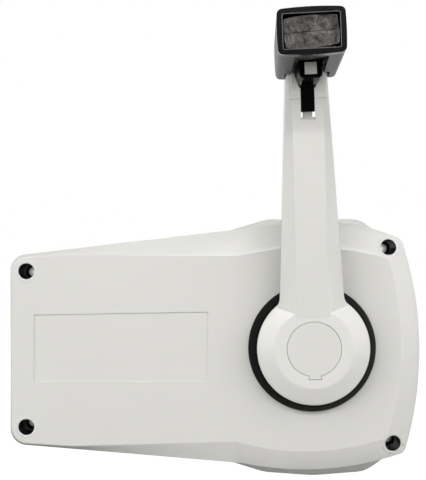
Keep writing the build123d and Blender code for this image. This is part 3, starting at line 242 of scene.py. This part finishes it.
def moulded(name, tint, stain, roughness, peel, depth, scuffing=0.06, **shader):
    """Moulded or painted skin: colour that drifts over 45 mm, orange peel, and small scuffed patches of
    about 2 mm that are rougher by scuffing. Real peel is finer, and is drawn coarse enough to show."""
    made, tree, surface = new_material(name, Roughness=roughness, **shader)
    place = add(tree, "ShaderNodeTexCoord").outputs["Object"]
    cloud = add(tree, "ShaderNodeTexNoise", {"Vector": place, "Scale": 1 / (45 * MM), "Detail": 3.0})
    tone = add(tree, "ShaderNodeMix", {0: cloud.outputs["Fac"], 6: srgb(tint), 7: srgb(stain)},
               data_type="RGBA")
    skin = add(tree, "ShaderNodeTexNoise", {"Vector": place, "Scale": 1 / peel, "Detail": 2.0})
    bump = add(tree, "ShaderNodeBump", {"Height": skin.outputs["Fac"], "Distance": depth, "Strength": 1.0})
    tree.links.new(tone.outputs[2], surface.inputs["Base Color"])
    tree.links.new(bump.outputs[0], surface.inputs["Normal"])
    if scuffing:
        stretched = add(tree, "ShaderNodeMapping", {"Vector": place, "Scale": SCUFFS_PER_METRE,
                                                    "Rotation": SCUFF_TURN})
        scuffs = add(tree, "ShaderNodeTexNoise", {"Vector": stretched.outputs[0], "Scale": 1.0,
                                                  "Detail": 4.0})
        gloss = add(tree, "ShaderNodeMapRange", {"Value": scuffs.outputs["Fac"], "From Min": 0.62,
                                                 "From Max": 0.72, "To Min": roughness,
                                                 "To Max": roughness + scuffing})
        tree.links.new(gloss.outputs[0], surface.inputs["Roughness"])
    return made


case_abs = moulded("satin_moulded_abs", "e0dfdb", "dddcd8", 0.27, 1.6 * MM, 0.008 * MM, scuffing=0, IOR=1.53)
dress(["front_cover", "rear_housing"], case_abs)
soften(["front_cover", "rear_housing"], 0.45 * MM)


# ---- Bolt hole rims ----
# Each panel bolt hole has a low lip moulded round it as part of the cover, with a soft outer edge
# that catches the light. It follows the slope of the cover where the hole lies.
BOLTS = [(-188.7, 50.5), (-188.7, -52.5), (51.0, 66.5), (54.0, -63.5)]
BORE_R = 5.3
LIP_R = 7.3
LIP_HEIGHT = 0.22
LIP_ROOT = 1.2
LIP_FOOT = 0.2
LIP_SHOULDER = 0.35
LIP_CROWN = 0.6
LIP_INNER = 0.25
SHOULDER_SHARE = 0.8
INNER_SHARE = 0.4
SEGMENTS = 72
CLEAR_OF_COVER = 100
TURNED_CREASE = 40


def cover_slope(bolt):
    """Depth of the cover's skin round a bolt hole: its middle value and its change along X and Z (mm)."""
    sums = [0.0, 0.0, 0.0]
    for step in range(SEGMENTS):
        turn = 2 * math.pi * step / SEGMENTS
        x = bolt[0] + LIP_R * math.cos(turn)
        z = bolt[1] + LIP_R * math.sin(turn)
        start = Vector((x * MM, -CLEAR_OF_COVER * MM, z * MM))
        depth = -nodes["front_cover"].ray_cast(start, Vector((0, 1, 0)))[1].y / MM
        sums[0] += depth / SEGMENTS
        sums[1] += 2 * depth * math.cos(turn) / (SEGMENTS * LIP_R)
        sums[2] += 2 * depth * math.sin(turn) / (SEGMENTS * LIP_R)
    return sums


def ring_faces(first, rings, around, closed):
    """Faces that join rings of points, in order, and the last ring to the first if it is closed."""
    made = []
    for ring in range(rings if closed else rings - 1):
        here = first + ring * around
        there = first + (ring + 1) % rings * around
        for k in range(around):
            after = (k + 1) % around
            made.append((here + k, here + after, there + after, there + k))
    return made


def add_piece(name, points, faces, crease, material, body):
    """A smooth mesh, sharp where it bends by more than crease degrees, that moves with a body."""
    mesh = bpy.data.meshes.new(name)
    mesh.from_pydata(points, [], faces)
    mesh.validate()
    mesh.materials.append(material)
    for face in mesh.polygons:
        face.use_smooth = True
    mesh.set_sharp_from_angle(angle=math.radians(crease))
    made = bpy.data.objects.new(name, mesh)
    bpy.context.scene.collection.objects.link(made)
    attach(made, body)
    return made


def turn_rings(name, turned, material):
    """One closed ring round each bolt axis, fixed to the box. Each is given as a bolt, the cover's
    slope there and a profile of (radius, depth, follow). A depth counts from the skin if follow is 1."""
    points = []
    faces = []
    for bolt, slope, profile in turned:
        faces += ring_faces(len(points), SEGMENTS, len(profile), True)
        for step in range(SEGMENTS):
            turn = 2 * math.pi * step / SEGMENTS
            for radius, depth, follow in profile:
                x = radius * math.cos(turn)
                z = radius * math.sin(turn)
                skin = slope[0] + slope[1] * x + slope[2] * z
                points.append(((bolt[0] + x) * MM, -(depth + follow * skin) * MM, (bolt[1] + z) * MM))
    return add_piece(name, points, faces, TURNED_CREASE, material, "box")


slopes = [cover_slope(bolt) for bolt in BOLTS]
lip = [(LIP_R, -LIP_FOOT, 1), (LIP_R - LIP_SHOULDER, LIP_HEIGHT * SHOULDER_SHARE, 1),
       (LIP_R - LIP_CROWN, LIP_HEIGHT, 1), (BORE_R + LIP_INNER, LIP_HEIGHT, 1),
       (BORE_R, LIP_HEIGHT * INNER_SHARE, 1), (BORE_R, -LIP_ROOT, 1), (LIP_R, -LIP_ROOT, 1)]
lips = [(bolt, slope, lip) for bolt, slope in zip(BOLTS, slopes)]
turn_rings("bolt_hole_rims", lips, case_abs)


# ---- Mounting sleeves ----
# Dark glass-filled nylon cups that line the four panel bolt holes up to their mouths, with a seat
# for the bolt head. Glass fill leaves them matt and slightly mottled. Each stops under the cover's
# skin, and its mouth follows the skin's slope.
CUP_R = 6.6
CUP_BASE = 16.0
CUP_SEAT = 20.0
CUP_TOP = 48.0
BOLT_HOLE_R = 3.3
SKIN = 2.0
CUP_MOUTH = -0.25
CUP_MOUTH_WALL = 0.35
CUP_CROWN = 0.2
CUP_ROUND = 0.1
CUP_SEAT_WALL = 0.6
CUP_FILLET = 0.4
CUP_FIT = 0.03
sleeve_nylon = moulded("glass_filled_nylon", "11151d", "1c212c", 0.42, 0.8 * MM, 0.02 * MM, IOR=1.53)
cups = []
for bolt, slope in zip(BOLTS, slopes):
    shoulder = min(CUP_TOP, slope[0] - LIP_R * math.hypot(slope[1], slope[2]) - SKIN)
    outside = [(BOLT_HOLE_R, CUP_BASE, 0), (CUP_R, CUP_BASE, 0), (CUP_R, shoulder, 0),
               (BORE_R - CUP_FIT, shoulder, 0)]
    mouth = [(BORE_R - CUP_FIT, CUP_MOUTH - CUP_ROUND, 1), (BORE_R - CUP_CROWN, CUP_MOUTH, 1),
             (BORE_R - CUP_MOUTH_WALL, CUP_MOUTH - 2 * CUP_ROUND, 1)]
    inside = [(BORE_R - CUP_SEAT_WALL, CUP_SEAT + CUP_FILLET, 0),
              (BORE_R - CUP_SEAT_WALL - CUP_FILLET, CUP_SEAT, 0), (BOLT_HOLE_R, CUP_SEAT, 0)]
    cups.append((bolt, slope, outside + mouth + inside))
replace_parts(turn_rings("panel_bolt_cups", cups, sleeve_nylon), "mounting_sleeves")


# ---- Screws, nut and washers ----
# Stainless fasteners, rolled and turned, with a dull cold-headed skin and fine tool lines.
LINES_PER_PITCH = 14


def worked_metal(name, tint, stain, roughness, pitch):
    """Bare worked metal: stains of about 9 mm, and tool lines that vary its gloss. The lines lie a
    fourteenth of pitch apart, coarser than real ones so that they show."""
    made, tree, surface = new_material(name, Metallic=1.0)
    place = add(tree, "ShaderNodeTexCoord").outputs["Object"]
    stains = add(tree, "ShaderNodeTexNoise", {"Vector": place, "Scale": 1 / (9 * MM), "Detail": 4.0})
    tone = add(tree, "ShaderNodeMix", {0: stains.outputs["Fac"], 6: srgb(tint), 7: srgb(stain)},
               data_type="RGBA")
    across = add(tree, "ShaderNodeMapping", {"Vector": place, "Scale": (1, LINES_PER_PITCH, 1)})
    lines = add(tree, "ShaderNodeTexNoise", {"Vector": across.outputs[0], "Scale": 1 / pitch, "Detail": 3.0})
    gloss = add(tree, "ShaderNodeMapRange", {"Value": lines.outputs["Fac"], "To Min": roughness - 0.08,
                                             "To Max": roughness + 0.1})
    bump = add(tree, "ShaderNodeBump", {"Height": lines.outputs["Fac"], "Distance": 0.01 * MM,
                                        "Strength": 0.6})
    tree.links.new(tone.outputs[2], surface.inputs["Base Color"])
    tree.links.new(gloss.outputs[0], surface.inputs["Roughness"])
    tree.links.new(bump.outputs[0], surface.inputs["Normal"])
    return made


stainless = worked_metal("turned_stainless", "c2c1bd", "a9a8a5", 0.3, 2.0 * MM)
screws = ["cover_screws", "lock_ring_screws", "switch_screws", "clamp_screws", "grip_screw", "hub_nut",
          "hub_washer", "friction_screw"]
dress(screws, stainless)
soften(screws, 0.2 * MM)


# ---- Pivot bezel and lock ring ----
# The collar round the hub is black moulded ABS, worn so dull that it mirrors almost nothing. The
# notched ring under it that the trigger's bar drops into is matt glass-filled nylon, like the
# clamp that holds the cables.
bezel_abs = moulded("worn_black_abs", "0c0c0c", "171718", 0.4, 1.2 * MM, 0.006 * MM, IOR=1.53,
                    Specular_IOR_Level=0.02)
dress(["pivot_bezel"], bezel_abs)
soften(["pivot_bezel"], 0.35 * MM)
ring_nylon = moulded("black_filled_nylon", "1b1b1c", "242425", 0.5, 0.8 * MM, 0.02 * MM, IOR=1.53)
dress(["lock_ring", "cable_clamp"], ring_nylon)
soften(["lock_ring", "cable_clamp"], 0.3 * MM)


# ---- Lever ----
# Hub and arm are one aluminium die casting, sprayed in a warm light grey enamel. Enamel is
# smoother and glossier than the case and keeps a finer orange peel.
enamel = moulded("sprayed_enamel", "e5e4e0", "e2e1dd", 0.24, 1.1 * MM, 0.005 * MM, scuffing=0, IOR=1.5)
dress(["lever_arm"], enamel)
soften(["lever_arm"], 0.5 * MM, 25)


# ---- Centre button ----
# A moulded ABS cap in the hub's pocket, keyed by a small tab so that it can't turn.
dress(["throttle_button"], case_abs)
soften(["throttle_button"], 0.4 * MM)


# ---- Grip sleeve ----
# Hollow ABS handle shell, slipped over the horn of the arm. The rim at its open end is glossy and
# black; behind it the skin turns to a clouded grey and is less glossy.
GRIP_FRONT = 169.0
RIM = 2.5
GREY_FROM = 9.0
black_rim_grey_abs, tree, surface = new_material("black_abs_grey_behind_rim", IOR=1.53, Specular_IOR_Level=0.2)
place = add(tree, "ShaderNodeTexCoord").outputs["Object"]
cloud = add(tree, "ShaderNodeTexNoise", {"Vector": place, "Scale": 1 / (14 * MM), "Detail": 4.0})
depth = add(tree, "ShaderNodeSeparateXYZ", {0: place})
behind_rim = add(tree, "ShaderNodeMapRange", {"Value": depth.outputs["Y"], "From Min": (RIM - GRIP_FRONT) * MM,
                                           "From Max": (GREY_FROM - GRIP_FRONT) * MM})
grey_cloud = add(tree, "ShaderNodeMix", {0: cloud.outputs["Fac"], 6: srgb("262627"), 7: srgb("444445")},
           data_type="RGBA")
tone = add(tree, "ShaderNodeMix", {0: behind_rim.outputs[0], 6: srgb("060606"), 7: grey_cloud.outputs[2]},
           data_type="RGBA")
gloss = add(tree, "ShaderNodeMapRange", {"Value": behind_rim.outputs[0], "To Min": 0.24, "To Max": 0.38})
skin = add(tree, "ShaderNodeTexNoise", {"Vector": place, "Scale": 1 / (1.2 * MM), "Detail": 2.0})
bump = add(tree, "ShaderNodeBump", {"Height": skin.outputs["Fac"], "Distance": 0.006 * MM, "Strength": 1.0})
tree.links.new(tone.outputs[2], surface.inputs["Base Color"])
tree.links.new(gloss.outputs[0], surface.inputs["Roughness"])
tree.links.new(bump.outputs[0], surface.inputs["Normal"])
dress(["grip_sleeve"], black_rim_grey_abs)


# ---- Grip mouth edge, a painted highlight ----
# A thin grey bead just inside the sleeve's open end, canted with the grip. Its grey is a painted
# highlight: it stands in for the light that the inner edge of the mouth catches. The lever itself
# leans a little left of upright.
LEAN = math.radians(2.3)
GRIP_CENTRE = 186.2
GRIP_TURN_DEPTH = 101.5
GRIP_YAW = math.radians(2.4)
GRIP_DROOP = math.radians(1.2)
MOUTH_HALF_WIDTH = 16.55
MOUTH_HALF_HEIGHT = 10.2
MOUTH_CORNER = 1.2
EDGE_R = 0.3
EDGE_INSET = 0.12
EDGE_SET_BACK = 0.02
CORNER_STEPS = 8
EDGE_SIDES = 8
NO_CREASE = 180
grip_turn = (Matrix.Rotation(-LEAN, 4, "Y")
             @ Matrix.Translation((0, -GRIP_TURN_DEPTH * MM, GRIP_CENTRE * MM))
             @ Matrix.Rotation(-GRIP_YAW, 4, "Z") @ Matrix.Rotation(GRIP_DROOP, 4, "X"))
middle_depth = GRIP_FRONT - GRIP_TURN_DEPTH - EDGE_R - EDGE_SET_BACK
points = []
for corner, (side_x, side_z) in enumerate([(1, 1), (-1, 1), (-1, -1), (1, -1)]):
    for step in range(CORNER_STEPS + 1):
        turn = math.radians(90 * (corner + step / CORNER_STEPS))
        x = side_x * (MOUTH_HALF_WIDTH - MOUTH_CORNER)
        z = side_z * (MOUTH_HALF_HEIGHT - MOUTH_CORNER)
        for k in range(EDGE_SIDES):
            angle = 2 * math.pi * k / EDGE_SIDES
            out = MOUTH_CORNER - EDGE_INSET + EDGE_R * math.cos(angle)
            depth = middle_depth - EDGE_R * math.sin(angle)
            here = Vector((x + out * math.cos(turn), -depth, z + out * math.sin(turn)))
            points.append(grip_turn @ (here * MM))
faces = ring_faces(0, len(points) // EDGE_SIDES, EDGE_SIDES, True)
# The bead's grey colours are painted highlight on the black ABS.
mouth_edge_painted_highlight = moulded("grip_mouth_painted_highlight", "757573", "4a4a48", 0.3, 0.8 * MM, 0.01 * MM, IOR=1.53)
add_piece("grip_mouth_edge", points, faces, NO_CREASE, mouth_edge_painted_highlight, "lever")


# ---- Grip cores ----
# Two polypropylene halves clamped round the arm's horn. Their open end is worn to a mottled grey,
# with scratches in arcs about the grip's middle.
MOTTLE = 5.0
ARC_SPACING = 7.0
scuffed_core, tree, surface = new_material("scuffed_polypropylene", Roughness=0.36, IOR=1.49,
                                           Specular_IOR_Level=0.3)
place = add(tree, "ShaderNodeTexCoord").outputs["Object"]
blots = add(tree, "ShaderNodeTexNoise", {"Vector": place, "Scale": 1 / (MOTTLE * MM), "Detail": 7.0,
                                        "Roughness": 0.7, "Distortion": 0.8})
uneven = add(tree, "ShaderNodeMapRange", {"Value": blots.outputs["Fac"], "From Min": 0.36, "From Max": 0.64})
ground = add(tree, "ShaderNodeMix", {0: uneven.outputs[0], 6: srgb("080706"), 7: srgb("65625e")},
             data_type="RGBA")
back_to_middle = (GRIP_CENTRE * math.sin(LEAN) * MM, 0, -GRIP_CENTRE * math.cos(LEAN) * MM)
centred = add(tree, "ShaderNodeMapping", {"Vector": place, "Location": back_to_middle})
arcs = add(tree, "ShaderNodeTexWave", {"Vector": centred.outputs[0], "Scale": 1 / (ARC_SPACING * MM),
                                       "Distortion": 9.0, "Detail": 4.0, "Detail Scale": 1.6},
           wave_type="RINGS", rings_direction="Y")
cut = add(tree, "ShaderNodeMapRange", {"Value": arcs.outputs["Fac"], "From Min": 0.82, "From Max": 0.98})
patch = add(tree, "ShaderNodeMapRange", {"Value": blots.outputs["Fac"], "From Min": 0.5, "From Max": 0.62,
                                         "To Max": 0.5})
scuff = add(tree, "ShaderNodeMath", {0: cut.outputs[0], 1: patch.outputs[0]}, operation="MULTIPLY")
tone = add(tree, "ShaderNodeMix", {0: scuff.outputs[0], 6: ground.outputs[2], 7: srgb("a3a19e")},
           data_type="RGBA")
tree.links.new(tone.outputs[2], surface.inputs["Base Color"])
dress(["grip_core_upper", "grip_core_lower"], scuffed_core)
soften(["grip_core_upper", "grip_core_lower"], 0.4 * MM)


# ---- Trigger, insert and lock bar ----
# The finger trigger is black acetal with a low sheen and a pale nylon pad pressed in. Its flat
# steel bar runs down inside the arm to the lock ring. The bar's near-white colour is a painted
# highlight, standing in for the brightly lit floor of the slot where the bar shows.
acetal = moulded("matt_black_acetal", "040405", "070708", 0.3, 0.7 * MM, 0.01 * MM, IOR=1.48,
                 Specular_IOR_Level=0.06)
dress(["trigger"], acetal)
soften(["trigger"], 0.35 * MM)
pad_nylon = moulded("pale_nylon_pad", "ecece9", "d2d2d0", 0.4, 0.9 * MM, 0.01 * MM, IOR=1.53)
dress(["trigger_insert"], pad_nylon)
soften(["trigger_insert"], 0.15 * MM)
# Near-white here is painted highlight, not the bar's own colour.
bar_steel_painted_highlight = moulded("steel_with_painted_highlight", "f6f6f4", "efefec", 0.35, 0.9 * MM, 0.008 * MM, IOR=1.5)
dress(["lock_bar"], bar_steel_painted_highlight)
soften(["lock_bar"], 0.25 * MM)


# ---- Shaft, pins and keys ----
# Turned steel, with the fine lines of the tool left on, which give it a soft, uneven gloss.
steel = worked_metal("turned_steel", "a3a4a6", "8b8c8f", 0.32, 1.6 * MM)
turned_parts = ["main_shaft", "shift_stub", "detent_pin", "crank_pin", "shift_arm_pin", "button_rod",
                "shaft_keys"]
dress(turned_parts, steel)
soften(turned_parts, 0.25 * MM)


# ---- Bushes, pad and roller ----
# Natural nylon, cream and waxy, moulded smooth for running on steel.
natural_nylon = moulded("natural_nylon", "ded8c8", "d2cbb8", 0.42, 1.0 * MM, 0.01 * MM, IOR=1.53,
                        Subsurface_Weight=0.15, Subsurface_Scale=1.5 * MM)
running = ["front_bush", "rear_bush", "friction_pad", "detent_roller"]
dress(running, natural_nylon)
soften(running, 0.25 * MM)


# ---- Gears, crank and detent ----
# Blanked and machined steel with clear zinc plating, which has a cool sheen that wears at edges.
zinc = worked_metal("zinc_plated_steel", "b9b8a6", "a5a69c", 0.36, 2.4 * MM)
plated = ["drive_gear", "shift_gear", "throttle_crank", "detent_disc", "detent_arm"]
dress(plated, zinc)
soften(plated, 0.25 * MM)


# ---- Springs and clips ----
# Drawn spring steel, dark from tempering, with draw lines along the wire. The two return springs
# are wound from round wire. In the control they shorten as the button is pressed and the trigger
# lifted; here each is one fixed coil that moves with the lever.
WIRE_SIDES = 12
STEPS_PER_TURN = 40
WIRE_CREASE = 50
spring_steel = worked_metal("tempered_spring_steel", "77787c", "5c5d62", 0.34, 1.2 * MM)
dress(["shaft_clip", "shift_stub_clip", "detent_spring"], spring_steel)


def wind_spring(node, start, along, side, length, radius, wire, turns):
    """Open helix of round wire on the lever, from a start point (m) along a direction, for a CAD node."""
    across = along.cross(side)
    steps = turns * STEPS_PER_TURN
    climb = (length - 2 * wire) / steps
    points = []
    for step in range(steps + 1):
        turn = 2 * math.pi * step / STEPS_PER_TURN
        out = side * math.cos(turn) + across * math.sin(turn)
        middle = start + along * (wire + climb * step) + out * radius
        for k in range(WIRE_SIDES):
            angle = 2 * math.pi * k / WIRE_SIDES
            points.append(middle + out * wire * math.cos(angle) + along * wire * math.sin(angle))
    start_cap = tuple(range(WIRE_SIDES))
    end_cap = tuple(steps * WIRE_SIDES + k for k in reversed(range(WIRE_SIDES)))
    # These rings are numbered the other way round, so each face is turned over to point outwards.
    skin = [(a, d, c, b) for a, b, c, d in ring_faces(0, steps + 1, WIRE_SIDES, False)]
    faces = [start_cap, end_cap] + skin
    made = add_piece(node + "_wire", points, faces, WIRE_CREASE, spring_steel, "lever")
    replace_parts(made, node)
    return made


BUTTON_SPRING_FOOT = Vector((0, -58.05 * MM, 0))
button_coil = wind_spring("button_spring", BUTTON_SPRING_FOOT, Vector((0, -1, 0)), Vector((1, 0, 0)),
                          length=9.7 * MM, radius=12.6 * MM, wire=0.6 * MM, turns=3)
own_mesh(button_coil)
UPRIGHT = Vector((-math.sin(LEAN), 0, math.cos(LEAN)))
TRIGGER_SPRING_TOP = UPRIGHT * 182.6 * MM + Vector((0, -112 * MM, 0))
trigger_coil = wind_spring("trigger_spring", TRIGGER_SPRING_TOP, -UPRIGHT, Vector((0, 1, 0)),
                           length=12.0 * MM, radius=2.5 * MM, wire=0.4 * MM, turns=4)
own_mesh(trigger_coil)


# ---- Cable swivels ----
# Turned brass blocks on the crank pins, drilled and tapped for the cable rods. Bare brass keeps a
# warm sheen with fine tool lines.
brass = worked_metal("turned_brass", "c9a35a", "b38c45", 0.3, 1.6 * MM)
dress(["shift_swivel", "throttle_swivel"], brass)
soften(["shift_swivel", "throttle_swivel"], 0.25 * MM)


# ---- Neutral switch ----
# A sealed microswitch in a matt phenolic case, with a red acetal plunger.
phenolic = moulded("moulded_phenolic", "1f1f22", "29292c", 0.55, 0.6 * MM, 0.02 * MM, IOR=1.6)
dress(["neutral_switch"], phenolic)
soften(["neutral_switch"], 0.25 * MM)
red_acetal = moulded("red_acetal", "a8241c", "96201a", 0.4, 0.9 * MM, 0.01 * MM, IOR=1.48)
dress(["switch_plunger"], red_acetal)
soften(["switch_plunger"], 0.2 * MM)


# ---- Cable grommets ----
# Soft nitrile rubber plugs in the cable outlets, matt and a little dusty.
nitrile = moulded("nitrile_rubber", "141414", "1d1d1c", 0.75, 0.7 * MM, 0.03 * MM, IOR=1.52)
dress(["cable_grommets"], nitrile)
soften(["cable_grommets"], 0.3 * MM)
